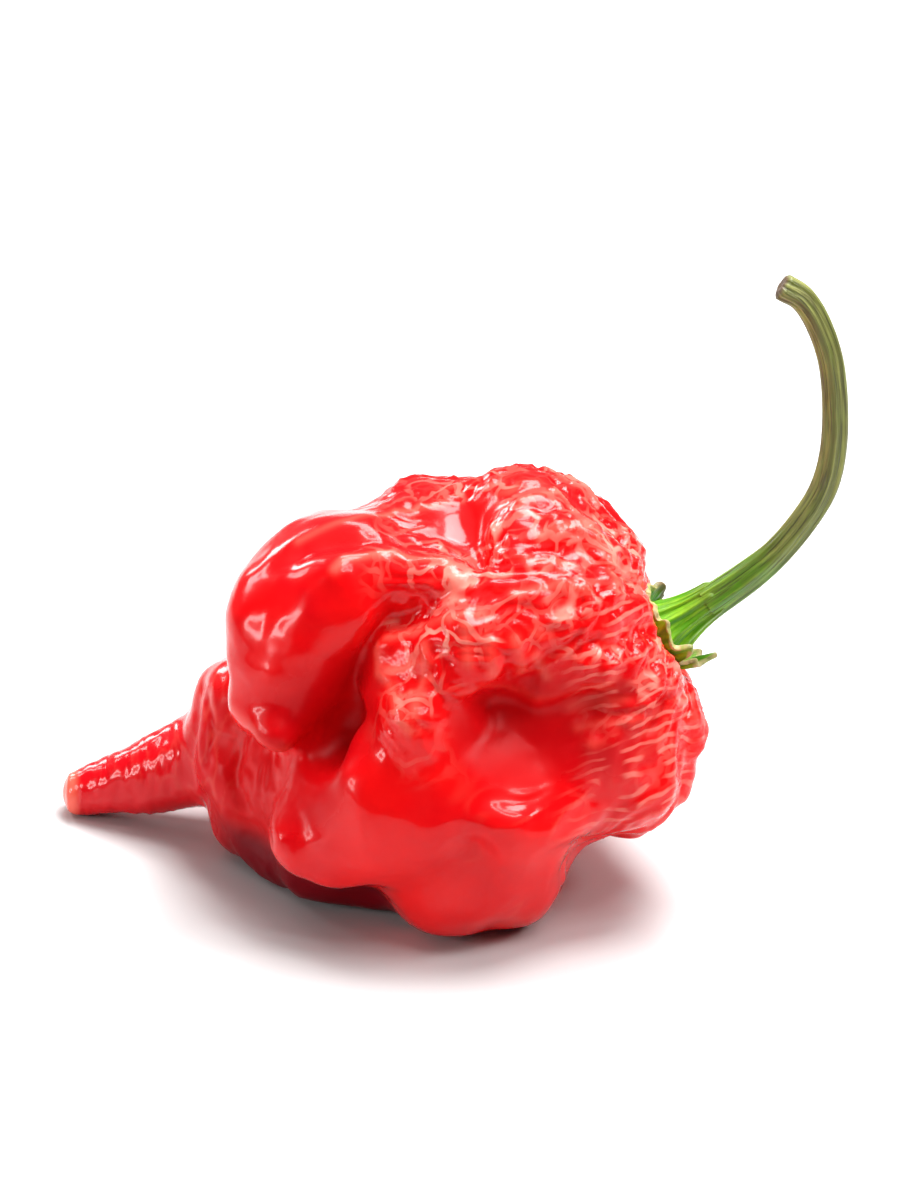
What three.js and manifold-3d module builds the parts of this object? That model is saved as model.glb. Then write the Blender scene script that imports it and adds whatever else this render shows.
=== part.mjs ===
// A ripe reaper chilli pepper, as picked, lying on its side: a lobed, wrinkled red pod that runs out into a
// pointed tail, a green calyx in a dish on its shoulder, and the curved flower stalk (pedicel) with its cut
// end in the air. Millimetres. +X runs from the tail to the stalk, +Y to the back, +Z up. The pod lies on
// the plane Z = 0, and the origin is at the bottom centre of the whole fruit.
import * as THREE from "three";
import { ImprovedNoise } from "three/addons/math/ImprovedNoise.js";
import { mergeVertices } from "three/addons/utils/BufferGeometryUtils.js";
import Module from "manifold-3d";

const wasm = await Module();
wasm.setup();

const { clamp, lerp, smoothstep } = THREE.MathUtils;
const vector = (x, y, z) => new THREE.Vector3(x, y, z);
const bead = (x, y, z, radius) => ({ at: vector(x, y, z), radius });

// The calyx sits in a dish on the pod's shoulder, and its axis points to the stalk.
const SEAT = vector(25.4, 0, 25.8);
const SEAT_AXIS = vector(0.81, 0.03, 0.585).normalize();
const DISH_RADIUS = 7;

// The pod's forms, in the order in which they grow: a lobe has radii, a limb has beads along a path, and a
// hollow is a form that is cut out of those before it. The fold is how wide the form blends into the rest.
const lobe = (name, fold, at, radii) => ({ name, fold, at, radii });
const limb = (name, fold, ...beads) => ({ name, fold, beads });
const hollow = (form) => ({ ...form, cut: true });
const DISH_MIDDLE = SEAT.clone().addScaledVector(SEAT_AXIS, DISH_RADIUS);
const POD_FORMS = [
  lobe("core", 0.1, vector(8, 3, 20), vector(16, 15, 16)),
  lobe("topShoulder", 5, vector(13, 3, 29), vector(11.3, 12, 11)),
  lobe("backRidge", 3, vector(4.6, 8, 27), vector(12, 10.5, 10.3)),
  lobe("leftCheek", 2, vector(-3.5, 1, 27), vector(11.6, 11.5, 10.5)),
  limb("cheekTip", 2.5, bead(-6, -4, 24, 6), bead(-9.3, -8.5, 20, 2.4)),
  limb("cheekJowl", 2, bead(-7.5, -2, 24, 6.8), bead(-10.4, -3.2, 20.8, 4.6)),
  lobe("collar", 2.5, vector(-9.5, 7, 10.5), vector(9.5, 10.5, 10)),
  lobe("collarFront", 3, vector(-4, -2, 10), vector(9, 7, 8)),
  lobe("collarKnob", 1.2, vector(-14.6, 9.5, 14), vector(4.6, 4.8, 4.6)),
  lobe("lowShoulder", 4, vector(18.5, -1, 17), vector(11, 13, 12)),
  lobe("backShoulder", 3, vector(13, 11, 18), vector(12, 10.5, 15)),
  lobe("backCheek", 3, vector(-3, 12, 17), vector(11, 9.5, 13)),
  lobe("backBelly", 3, vector(7, 10, 9), vector(11, 10, 9.5)),
  hollow(
    limb(
      "underCheek", 3,
      bead(-3, -14, 19.5, 2.6), bead(-7, -12, 16.4, 2.6), bead(-12.5, -7.5, 14.4, 2.2), bead(-16, 1, 15, 1.8),
    ),
  ),
  hollow(limb("cheekHollow", 4, bead(5, -12, 32, 4), bead(1.5, -13.2, 27, 5.5), bead(-3, -14, 20.5, 6))),
  lobe("frontShoulder", 5, vector(15, -3.5, 28.5), vector(9, 9.5, 8.5)),
  limb(
    "cheekBrow", 2.5,
    bead(-5, -4.3, 33.6, 3), bead(2, -5, 33.8, 3), bead(7.2, -5.5, 33.2, 3), bead(8.8, -8.3, 30, 3),
  ),
  hollow(limb("topFold", 3, bead(7.2, 0, 38.6, 1.2), bead(8, -3, 37.4, 1.4), bead(8.8, -6, 36, 1))),
  limb("frontRidge", 1.5, bead(7, -9.5, 27.5, 4.5), bead(4, -11.5, 22, 5.5), bead(2.5, -12, 15, 7)),
  limb(
    "brow", 2.5,
    bead(7, -9.5, 27.5, 4.5), bead(11, -9, 29.5, 4.5), bead(17, -7, 28, 4.5), bead(22, -5, 25, 5),
  ),
  lobe("belly", 2.5, vector(8, -8, 8), vector(10, 10, 8.7)),
  lobe("bellyFront", 3, vector(9.5, -10.5, 14), vector(9, 8.5, 7)),
  hollow(lobe("frontDent", 4, vector(13.5, -18.4, 23.8), vector(9, 6.2, 5.4))),
  lobe("flapRoot", 3, vector(-3.5, -8, 11), vector(7, 6, 7)),
  limb("frontFlap", 3, bead(3, -11.5, 12, 7), bead(-3, -11.8, 10.2, 5.2), bead(-7.6, -10.6, 9.6, 3)),
  limb(
    "underside", 1.5,
    bead(-1, -4.5, 4.3, 4.6), bead(-7, -3.2, 4.1, 4.4), bead(-10, 1.2, 4, 4.2), bead(-13.5, 5.2, 3.9, 4.1),
  ),
  hollow(limb("sideFold", 3, bead(20.8, -18, 9, 3.4), bead(20.8, 6, -2, 3.4))),
  hollow(limb("flapFold", 2.5, bead(-1, -17.5, 4.5, 1.4), bead(4, -18.8, 8, 1.4), bead(7.5, -18.6, 12, 1.2))),
  limb("tail", 2.5, bead(-16.5, 11, 8, 5.1), bead(-23.5, 12.4, 4.8, 3.7), bead(-30.9, 14, 2, 2.2)),
  hollow(lobe("dish", 3, DISH_MIDDLE, vector(DISH_RADIUS, DISH_RADIUS, DISH_RADIUS))),
];

// Relief of the skin: lumps all over the body, and pleats that run out from the calyx and fade.
const LUMP_HEIGHT = 1;
const LUMP_SIZE = 6;
const PLEAT_HEIGHT = 0.6;
const PLEATS = 13;
const PLEAT_SWAY = 3;
const PLEAT_SWAY_SIZE = 9;
const PLEAT_START = [6, 11];
const PLEAT_END = [12, 24];
const TAIL_ROOT_X = [-20, -12];

// The grid that the pod's skin is drawn on, and the rounds in which its corners are evened out.
const GRID_LOW = vector(-34, -23, -3);
const GRID_HIGH = vector(33, 24, 43);
const GRID_CELL = 1.6;
const EVEN_ROUNDS = 8;
const EVEN_SHARE = 0.5;
const DRAW_SHARE = 0.8;
const SLOPE_STEP = 0.05;

// The calyx: a ribbed funnel that ends in five crumpled lobes lying over the pod.
const CALYX_HEIGHT = 6.6;
const CALYX_GAP = 0.4;
const CALYX_LIP = 0.7;
const CALYX_RIM_RADIUS = 3.7;
const CALYX_LOBES = 5;
const CALYX_LOBE_REACH = 1.1;
const CALYX_LOBE_TURN = 0.6;
const CALYX_LOBE_POWER = 1.5;
const CALYX_SWAY = 0.25;
const CALYX_SWAYS = 3;
const CALYX_CURL = 0.9;
const CALYX_CURLS = 7;
const CALYX_CURL_TURN = 2;
const CALYX_RIB_SHARE = 0.07;
const CALYX_SIDES = 50;
// Rings under the calyx and on its lobes, as shares of the rim's radius.
const CALYX_UNDER = [0.4, 0.75, 1];
const CALYX_OVER = [1, 0.88];
// Distances from the axis at shares of the calyx's height, from its top to where the lobes begin.
const CALYX_FUNNEL = [[1, 1.7], [0.8, 1.85], [0.6, 2.1], [0.42, 2.5], [0.28, 3]];

// The pedicel: its centreline from the calyx to the cut end, and its radius along it.
const PEDICEL_GAP = 0.3;
const PEDICEL_PATH = [
  vector(33.9, 0.4, 32), vector(36.6, 0.7, 34.4), vector(39.1, 1, 37.6), vector(40.8, 1.3, 40.7),
  vector(41.6, 1.6, 44.3), vector(41.7, 2, 48.7), vector(41.2, 2.3, 53.1), vector(40.2, 2.5, 57),
  vector(38.8, 2.5, 59.7), vector(37.1, 2.5, 61.2),
];
const PEDICEL_RADII = [1.65, 1.4, 1.25, 1.2, 1.2, 1.15, 1.1, 1.1, 1.1, 1.15, 1.15];
const PEDICEL_SIDES = 20;
const PEDICEL_STEPS = 28;
const PEDICEL_RIBS = 5;
const PEDICEL_RIB_SHARE = 0.07;

const GROUND_SIZE = 140;
const GROUND_DEPTH = 20;

// How far along the seat's axis the pod's skin is looked for, and in how many halvings.
const CLEAR_RANGE = [-4, 10];
const CLEAR_STEPS = 24;

const noise = new ImprovedNoise();

function lobeDistance(point, at, radii) {
  const local = point.clone().sub(at).divide(radii);
  const reach = local.length();
  return (reach * (reach - 1)) / local.divide(radii).length();
}

function limbDistance(point, beads) {
  let nearest = Infinity;
  for (let i = 1; i < beads.length; i++) {
    const from = beads[i - 1];
    const span = beads[i].at.clone().sub(from.at);
    const share = clamp(point.clone().sub(from.at).dot(span) / span.lengthSq(), 0, 1);
    const distance = point.distanceTo(span.multiplyScalar(share).add(from.at));
    nearest = Math.min(nearest, distance - lerp(from.radius, beads[i].radius, share));
  }
  return nearest;
}

function softMin(a, b, fold) {
  const near = Math.max(fold - Math.abs(a - b), 0) / fold;
  return Math.min(a, b) - (near * near * fold) / 4;
}

const SEAT_FRONT = vector(0, -1, 0).addScaledVector(SEAT_AXIS, SEAT_AXIS.y).normalize();
const SEAT_SIDE = new THREE.Vector3().crossVectors(SEAT_AXIS, SEAT_FRONT);

function relief(point) {
  const grain = (size, shift = 0) => noise.noise(point.x / size, point.y / size, point.z / size + shift);
  const lumps = LUMP_HEIGHT * grain(LUMP_SIZE) * smoothstep(point.x, ...TAIL_ROOT_X);
  const arm = point.clone().sub(SEAT);
  const reach = arm.length();
  const angle = Math.atan2(arm.dot(SEAT_SIDE), arm.dot(SEAT_FRONT));
  const wave = Math.sin(PLEATS * angle + PLEAT_SWAY * grain(PLEAT_SWAY_SIZE, 40));
  const ring = smoothstep(reach, ...PLEAT_START) * (1 - smoothstep(reach, ...PLEAT_END));
  return lumps + PLEAT_HEIGHT * wave * ring;
}

function podDistance(point) {
  let distance = Infinity;
  for (const { at, radii, beads, fold, cut } of POD_FORMS) {
    const form = beads ? limbDistance(point, beads) : lobeDistance(point, at, radii);
    distance = cut ? -softMin(-distance, form, fold) : softMin(distance, form, fold);
  }
  return distance - relief(point);
}

function slope(point, step = SLOPE_STEP) {
  const at = (x, y, z) => podDistance(vector(point.x + x, point.y + y, point.z + z));
  return vector(
    at(step, 0, 0) - at(-step, 0, 0),
    at(0, step, 0) - at(0, -step, 0),
    at(0, 0, step) - at(0, 0, -step),
  ).normalize();
}

// Only positions and shared corners stay, so that the mesh is one closed skin.
function bare(geometry) {
  geometry.deleteAttribute("normal");
  geometry.deleteAttribute("uv");
  return mergeVertices(geometry, 1e-4);
}

function moveCorners(geometry, place) {
  const position = geometry.attributes.position;
  for (let i = 0; i < position.count; i++) {
    const corner = place(new THREE.Vector3().fromBufferAttribute(position, i));
    position.setXYZ(i, corner.x, corner.y, corner.z);
  }
  return geometry;
}

function neighbourLists(triangles, count) {
  const lists = Array.from({ length: count }, () => new Set());
  for (let i = 0; i < triangles.length; i += 3)
    for (let j = 0; j < 3; j++) {
      lists[triangles[i + j]].add(triangles[i + ((j + 1) % 3)]);
      lists[triangles[i + j]].add(triangles[i + ((j + 2) % 3)]);
    }
  return lists.map((set) => [...set]);
}

// Where the corners of a grid square are in and out of the pod by turns, two sheets of skin would share an
// edge, so the corner nearest the surface is moved across it.
function partSheets(cells, counts, strides, depths) {
  for (let found = true; found; ) {
    found = false;
    cells.forEach((cell, n) => {
      for (let axis = 0; axis < 3; axis++) {
        const next = (axis + 1) % 3;
        if (cell[axis] + 1 === counts[axis] || cell[next] + 1 === counts[next]) continue;
        const square = [n, n + strides[axis], n + strides[axis] + strides[next], n + strides[next]];
        if (!square.every((corner, i) => depths[corner] < 0 !== depths[square[(i + 1) % 4]] < 0)) continue;
        const nearest = square.reduce((a, b) => (Math.abs(depths[a]) < Math.abs(depths[b]) ? a : b));
        depths[nearest] *= -1;
        found = true;
      }
    });
  }
}

// The pod's skin is a net: one corner in each cell of a grid that the surface passes through, and one quad
// across each edge of the grid that it crosses.
function podNet() {
  const counts = GRID_HIGH.clone().sub(GRID_LOW).divideScalar(GRID_CELL).ceil().toArray();
  const strides = [1, counts[0], counts[0] * counts[1]];
  const placeOf = (cell) => vector(...cell).multiplyScalar(GRID_CELL).add(GRID_LOW);
  const cells = Array.from({ length: strides[2] * counts[2] }, (_, n) => [
    n % counts[0], Math.floor(n / strides[1]) % counts[1], Math.floor(n / strides[2]),
  ]);
  const depths = cells.map((cell) => podDistance(placeOf(cell)));
  partSheets(cells, counts, strides, depths);
  const edges = cells.flatMap((cell, n) =>
    strides
      .map((stride, axis) => ({ n, axis, next: n + stride }))
      .filter(({ axis, next }) => cell[axis] + 1 < counts[axis] && depths[n] < 0 !== depths[next] < 0),
  );
  const crossings = new Map();
  const quads = edges.map(({ n, axis, next }) => {
    const place = placeOf(cells[n]).lerp(placeOf(cells[next]), depths[n] / (depths[n] - depths[next]));
    const across = strides[(axis + 1) % 3];
    const up = strides[(axis + 2) % 3];
    const quad = [n, n - across, n - across - up, n - up];
    for (const cell of quad) crossings.set(cell, [...(crossings.get(cell) ?? []), place]);
    return depths[n] < 0 ? quad : quad.reverse();
  });
  const order = new Map([...crossings.keys()].map((cell, i) => [cell, i]));
  const corners = [...crossings.values()].map((places) =>
    places.reduce((sum, place) => sum.add(place), vector(0, 0, 0)).divideScalar(places.length),
  );
  const triangles = quads.flatMap((quad) => {
    const [a, b, c, d] = quad.map((cell) => order.get(cell));
    const shortAC = corners[a].distanceTo(corners[c]) < corners[b].distanceTo(corners[d]);
    return shortAC ? [a, b, c, a, c, d] : [a, b, d, b, c, d];
  });
  return { corners, triangles };
}

// The net's corners are drawn onto the surface and evened out over it.
function podSkin() {
  let { corners, triangles } = podNet();
  const neighbours = neighbourLists(triangles, corners.length);
  for (let round = 0; round < EVEN_ROUNDS; round++)
    corners = corners.map((corner, i) => {
      const pull = vector(0, 0, 0);
      neighbours[i].forEach((j) => pull.add(corners[j]));
      pull.divideScalar(neighbours[i].length).sub(corner);
      const normal = slope(corner);
      pull.addScaledVector(normal, -pull.dot(normal));
      const moved = corner.clone().addScaledVector(pull, EVEN_SHARE);
      return moved.addScaledVector(slope(moved), -DRAW_SHARE * podDistance(moved));
    });
  return new THREE.BufferGeometry().setFromPoints(corners).setIndex(triangles);
}

function solidFrom(geometry) {
  return new wasm.Manifold(
    new wasm.Mesh({
      numProp: 3,
      vertProperties: new Float32Array(geometry.attributes.position.array),
      triVerts: new Uint32Array(geometry.index.array),
    }),
  );
}

function geometryFrom(solid) {
  const mesh = solid.getMesh();
  return new THREE.BufferGeometry()
    .setAttribute("position", new THREE.BufferAttribute(mesh.vertProperties, 3))
    .setIndex(new THREE.BufferAttribute(mesh.triVerts, 1));
}

function makeMesh(name, geometry, color, roughness) {
  const mesh = new THREE.Mesh(geometry, new THREE.MeshStandardMaterial({ color, roughness }));
  mesh.name = name;
  return mesh;
}

function makePod() {
  const ground = bare(new THREE.BoxGeometry(GROUND_SIZE, GROUND_SIZE, GROUND_DEPTH));
  ground.translate(0, 0, -GROUND_DEPTH / 2);
  const solid = solidFrom(podSkin()).subtract(solidFrom(ground));
  return makeMesh("pod", geometryFrom(solid), 0xd8080c, 0.2);
}

const seatPoint = (along, out, angle) =>
  SEAT.clone()
    .addScaledVector(SEAT_AXIS, along)
    .addScaledVector(SEAT_FRONT, out * Math.cos(angle))
    .addScaledVector(SEAT_SIDE, out * Math.sin(angle));

// How far along the seat's axis a point stands when it just clears the pod.
function clearHeight(out, angle) {
  let [low, high] = CLEAR_RANGE;
  for (let step = 0; step < CLEAR_STEPS; step++) {
    const middle = (low + high) / 2;
    if (podDistance(seatPoint(middle, out, angle)) > CALYX_GAP) high = middle;
    else low = middle;
  }
  return high;
}

// A lathe's rings carry their numbers as heights, and each ring is then placed by its number.
function makeCalyx() {
  const rings = [];
  const addRing = (place) => rings.push(place);
  const rimRadius = (angle) => {
    const lobe = Math.pow(0.5 + 0.5 * Math.cos(CALYX_LOBES * angle + CALYX_LOBE_TURN), CALYX_LOBE_POWER);
    return CALYX_RIM_RADIUS + CALYX_LOBE_REACH * lobe + CALYX_SWAY * Math.sin(CALYX_SWAYS * angle + 1);
  };
  const curl = (angle, share) => {
    const wave = 0.5 + 0.5 * Math.sin(CALYX_CURLS * angle + CALYX_CURL_TURN);
    return CALYX_CURL * share * share * wave * wave;
  };
  const under = (share) => (angle) => {
    const out = rimRadius(angle) * share;
    return seatPoint(clearHeight(out, angle) + curl(angle, share), out, angle);
  };
  const over = (share) => (angle) => {
    const out = rimRadius(angle) * share;
    return seatPoint(clearHeight(out, angle) + curl(angle, share) + CALYX_LIP, out, angle);
  };
  const funnel = (height, radius) => (angle) => {
    const rib = 1 + CALYX_RIB_SHARE * Math.cos(2 * CALYX_LOBES * angle);
    return seatPoint(CALYX_HEIGHT * height, radius * (height < 1 ? rib : 1), angle);
  };
  addRing(() => seatPoint(clearHeight(0, 0), 0, 0));
  for (const share of CALYX_UNDER) addRing(under(share));
  for (const share of CALYX_OVER) addRing(over(share));
  for (const [height, radius] of CALYX_FUNNEL.toReversed()) addRing(funnel(height, radius));
  addRing(() => seatPoint(CALYX_HEIGHT, 0, 0));
  const profile = rings.map((_, i) => new THREE.Vector2(i === 0 || i === rings.length - 1 ? 0 : 1, i));
  const lathe = bare(new THREE.LatheGeometry(profile, CALYX_SIDES));
  moveCorners(lathe, (corner) => rings[Math.round(corner.y)](Math.atan2(corner.x, corner.z)));
  return makeMesh("calyx", geometryFrom(solidFrom(lathe)), 0x6fb514, 0.5);
}

// A cylinder's rings are strung along the stalk's curve.
function makePedicel() {
  const start = CALYX_HEIGHT + PEDICEL_GAP;
  const curve = new THREE.CatmullRomCurve3([seatPoint(start, 0, 0), ...PEDICEL_PATH]);
  const stalk = bare(new THREE.CylinderGeometry(1, 1, 1, PEDICEL_SIDES, PEDICEL_STEPS));
  moveCorners(stalk, (corner) => {
    const share = clamp(corner.y + 0.5, 0, 1);
    const tangent = share === 0 ? SEAT_AXIS : curve.getTangent(share);
    const front = vector(0, -1, 0).addScaledVector(tangent, tangent.y).normalize();
    const side = new THREE.Vector3().crossVectors(tangent, front);
    const angle = Math.atan2(corner.x, corner.z);
    const step = share * (PEDICEL_RADII.length - 1);
    const from = Math.min(Math.floor(step), PEDICEL_RADII.length - 2);
    const radius = lerp(PEDICEL_RADII[from], PEDICEL_RADII[from + 1], step - from);
    const rib = 1 + PEDICEL_RIB_SHARE * Math.cos(PEDICEL_RIBS * angle);
    const out = Math.hypot(corner.x, corner.z) * radius * rib;
    const place = curve.getPoint(share);
    return place.addScaledVector(front, out * Math.cos(angle)).addScaledVector(side, out * Math.sin(angle));
  });
  return makeMesh("pedicel", geometryFrom(solidFrom(stalk)), 0x727a3c, 0.6);
}

const pepper = new THREE.Group();
pepper.add(makePod(), makeCalyx(), makePedicel());
const box = new THREE.Box3().setFromObject(pepper);
const middle = box.getCenter(new THREE.Vector3());
pepper.position.set(-middle.x, -middle.y, -box.min.z);

export default pepper;
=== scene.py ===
import math

import bpy
import numpy as np
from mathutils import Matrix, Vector, noise
from mathutils.bvhtree import BVHTree


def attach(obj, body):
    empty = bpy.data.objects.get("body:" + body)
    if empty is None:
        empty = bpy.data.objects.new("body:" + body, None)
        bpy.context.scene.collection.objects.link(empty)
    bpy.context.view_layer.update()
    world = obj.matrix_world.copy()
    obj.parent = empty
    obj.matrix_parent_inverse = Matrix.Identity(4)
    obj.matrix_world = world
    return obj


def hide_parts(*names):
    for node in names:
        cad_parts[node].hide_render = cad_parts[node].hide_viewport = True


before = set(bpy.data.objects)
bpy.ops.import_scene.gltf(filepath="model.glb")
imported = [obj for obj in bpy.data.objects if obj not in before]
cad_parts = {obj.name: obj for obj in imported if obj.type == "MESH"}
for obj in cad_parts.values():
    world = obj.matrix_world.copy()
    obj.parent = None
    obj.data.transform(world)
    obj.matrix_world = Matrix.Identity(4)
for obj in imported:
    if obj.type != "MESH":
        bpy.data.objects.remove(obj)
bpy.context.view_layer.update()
scene = bpy.context.scene
mm = 0.001

# Camera: straight on to the front, looking down a little, with the fruit across most of the picture.
viewSettings = {
    "elevation": 25.0,            # degrees above the table
    "distance": 0.6,
    "aim": (0.0008, -0.0012, 0.0295),
    "pictureHeight": 0.1133,      # real height that the picture takes in at the aim
    "sensor": 36.0,
    "clipStart": 0.01,
    "photoPixel": 0.00024,        # real size of a pixel of the photograph
    "photoAim": (184, 1049),      # pixel of the photograph that the camera aims at
}


def cameraAxes():
    tilt = math.radians(viewSettings["elevation"])
    back = Vector((0, -math.cos(tilt), math.sin(tilt)))
    right = Vector((1, 0, 0))
    return right, back.cross(right), back


def makeCamera():
    right, up, back = cameraAxes()
    place = Vector(viewSettings["aim"]) + back * viewSettings["distance"]
    bpy.ops.object.camera_add(location=place, rotation=back.to_track_quat("Z", "Y").to_euler())
    camera = bpy.context.object
    camera.data.sensor_width = viewSettings["sensor"]
    camera.data.lens = viewSettings["sensor"] * viewSettings["distance"] / viewSettings["pictureHeight"]
    camera.data.clip_start = viewSettings["clipStart"]
    scene.camera = camera
    print("camera set")


# Shader maths: a signal is one socket, and sums on signals add their Math nodes.
class Signal:
    def __init__(self, tree, socket=None):
        self.tree = tree
        self.socket = socket

    def node(self, kind, settings=None, sockets=None, out=0):
        made = self.tree.nodes.new(kind)
        for name, value in (settings or {}).items():
            setattr(made, name, value)
        for name, value in (sockets or {}).items():
            if isinstance(value, Signal):
                self.tree.links.new(value.socket, made.inputs[name])
            else:
                made.inputs[name].default_value = value
        return Signal(self.tree, made.outputs[out])

    def maths(self, operation, first, second=0.0):
        return self.node("ShaderNodeMath", {"operation": operation}, {0: first, 1: second})

    def vectors(self, operation, sockets, out=0):
        return self.node("ShaderNodeVectorMath", {"operation": operation}, sockets, out)

    def __add__(self, other):
        return self.maths("ADD", self, other)

    def __radd__(self, other):
        return self.maths("ADD", other, self)

    def __sub__(self, other):
        return self.maths("SUBTRACT", self, other)

    def __rsub__(self, other):
        return self.maths("SUBTRACT", other, self)

    def __mul__(self, other):
        return self.maths("MULTIPLY", self, other)

    def __rmul__(self, other):
        return self.maths("MULTIPLY", other, self)

    def axis(self, index):             # one part of a vector: 0, 1 or 2 for x, y or z
        return self.node("ShaderNodeSeparateXYZ", {}, {"Vector": self}, out=index)

    def attribute(self, name):         # a value that the mesh keeps for each corner
        return self.node("ShaderNodeAttribute", {"attribute_name": name}, out=2)

    def between(self, low, high):      # 0 below low, 1 above high, smooth between
        return self.node("ShaderNodeMapRange", {"interpolation_type": "SMOOTHSTEP"},
                         {"Value": self, "From Min": low, "From Max": high})

    def mix(self, first, second):      # colours, this signal being the share of the second
        return self.node("ShaderNodeMix", {"data_type": "RGBA"}, {0: self, 6: first, 7: second}, out=2)

    def grain(self, size, detail=2.0, stretch=(1, 1, 1)):
        scale = tuple(share / size for share in stretch)
        moved = self.node("ShaderNodeMapping", {}, {"Vector": self, "Scale": scale})
        return self.node("ShaderNodeTexNoise", {}, {"Vector": moved, "Scale": 1.0, "Detail": detail})

    def seams(self, size, wobble, thin, waves=0.7, core=0.45):    # wavering lines between cells this size
        push = self.node("ShaderNodeTexNoise", {},
                         {"Vector": self, "Scale": waves / size, "Detail": 2.0}, out=1)
        push = self.vectors("SUBTRACT", {0: push, 1: (0.5, 0.5, 0.5)})
        push = self.vectors("SCALE", {0: push, "Scale": wobble})
        moved = self.vectors("ADD", {0: self, 1: push})
        away = self.node("ShaderNodeTexVoronoi", {"feature": "DISTANCE_TO_EDGE"},
                         {"Vector": moved, "Scale": 1 / size})
        return 1 - away.between(core * thin, thin)

    def layers(self, across, gap, wobble, waves=5 * mm, core=0.08, rim=0.24):    # wavering lines, a gap apart
        reach = self.vectors("DOT_PRODUCT", {0: self, 1: across}, out=1)
        away = self.maths("PINGPONG", reach + self.grain(waves) * wobble, gap / 2)
        return 1 - away.between(core * gap, rim * gap)


def newMaterial(name):
    material = bpy.data.materials.new(name)
    material.use_nodes = True
    tree = material.node_tree
    shader = tree.nodes["Principled BSDF"]
    start = Signal(tree)
    coords = start.node("ShaderNodeTexCoord", out=3)   # Object coordinates
    return material, shader, start, coords


def feed(shader, name, signal):
    signal.tree.links.new(signal.socket, shader.inputs[name])


def setSockets(shader, values):
    for name, value in values.items():
        shader.inputs[name].default_value = value


def bumpInto(shader, height, bump):
    sockets = {"Strength": bump["strength"], "Distance": bump["distance"], "Height": height}
    feed(shader, "Normal", height.node("ShaderNodeBump", {}, sockets))


def tinted(colour, mask, tint):        # the tint laid over the colour, as far as the mask and its share say
    return (mask * tint["share"]).mix(colour, tint["colour"])


# Mesh helpers
cadMerge = 0.001 * mm                  # corners nearer than this are one
gridMerge = 0.002 * mm
noiseWay = (1, 1.7, -0.6)              # the way that a shift moves through the noise


def deselectAll():
    if bpy.context.object and bpy.context.object.mode != "OBJECT":
        bpy.ops.object.mode_set(mode="OBJECT")
    bpy.ops.object.select_all(action="DESELECT")


def makeActive(piece):
    deselectAll()
    piece.select_set(True)
    bpy.context.view_layer.objects.active = piece


def applyModifier(piece, kind, **settings):
    makeActive(piece)
    modifier = piece.modifiers.new(kind.title(), kind)
    for name, value in settings.items():
        setattr(modifier, name, value)
    bpy.ops.object.modifier_apply(modifier=modifier.name)


def mergeCorners(piece, distance):
    makeActive(piece)
    bpy.ops.object.mode_set(mode="EDIT")
    bpy.ops.mesh.select_all(action="SELECT")
    bpy.ops.mesh.remove_doubles(threshold=distance)
    bpy.ops.mesh.normals_make_consistent(inside=False)
    bpy.ops.object.mode_set(mode="OBJECT")


def readCorners(piece):
    count = len(piece.data.vertices)
    places = np.zeros(count * 3, np.float32)
    piece.data.vertices.foreach_get("co", places)
    normals = np.zeros(count * 3, np.float32)
    piece.data.vertex_normals.foreach_get("vector", normals)
    return places.reshape(-1, 3).astype(float), normals.reshape(-1, 3).astype(float)


def writeCorners(piece, places):
    piece.data.vertices.foreach_set("co", places.astype(np.float32).ravel())
    piece.data.update()


def keepAttribute(piece, name, values):     # a value for each corner, which the material reads
    attribute = piece.data.attributes.new(name, "FLOAT", "POINT")
    attribute.data.foreach_set("value", values.astype(np.float32))


def ramp(values, low, high):           # 0 below low, 1 above high, smooth between
    share = np.clip((values - low) / (high - low), 0, 1)
    return share * share * (3 - 2 * share)


def fall(values, low, high):           # 1 below low, 0 above high
    return 1 - ramp(values, low, high)


def notBelow(least, share):            # the share, squeezed into the span from least to 1
    return least + (1 - least) * share


def bell(away, width):                 # 1 in the middle, fading out past the width
    return np.exp(-((away / width) ** 2))


def grainAt(places, size, shift):
    offset = Vector([shift * share for share in noiseWay])
    return np.array([noise.noise(Vector(p) / size + offset) for p in places])


def ribFactor(s, angle, turn=0.0):     # broad and fine ribs round a calyx or a stalk
    broad = s["ribShare"] * math.cos(s["ribs"] * angle + turn)
    return 1 + broad + s["fineRibShare"] * math.cos(s["fineRibs"] * angle)


def dress(piece, node, material):
    piece.data.materials.clear()
    piece.data.materials.append(material)
    makeActive(piece)
    bpy.ops.object.shade_smooth()
    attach(piece, "root")
    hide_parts(node)
    print(piece.name, "done,", len(piece.data.polygons), "faces")


# Where the calyx sits on the pod, which the wrinkles run out from.
seatSettings = {
    "place": (0.02047, -0.00124, 0.0258),
    "axis": (0.81, 0.03, 0.585),
    "sink": 1.0 * mm,             # how much deeper the calyx sits than in the part
    "sinkWidth": 5.5 * mm,
}
seatAxis = Vector(seatSettings["axis"]).normalized()
seat = Vector(seatSettings["place"]) - seatAxis * seatSettings["sink"]
seatFront = (Vector((0, -1, 0)) + seatAxis * seatAxis.y).normalized()
seatSide = seatAxis.cross(seatFront)

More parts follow.
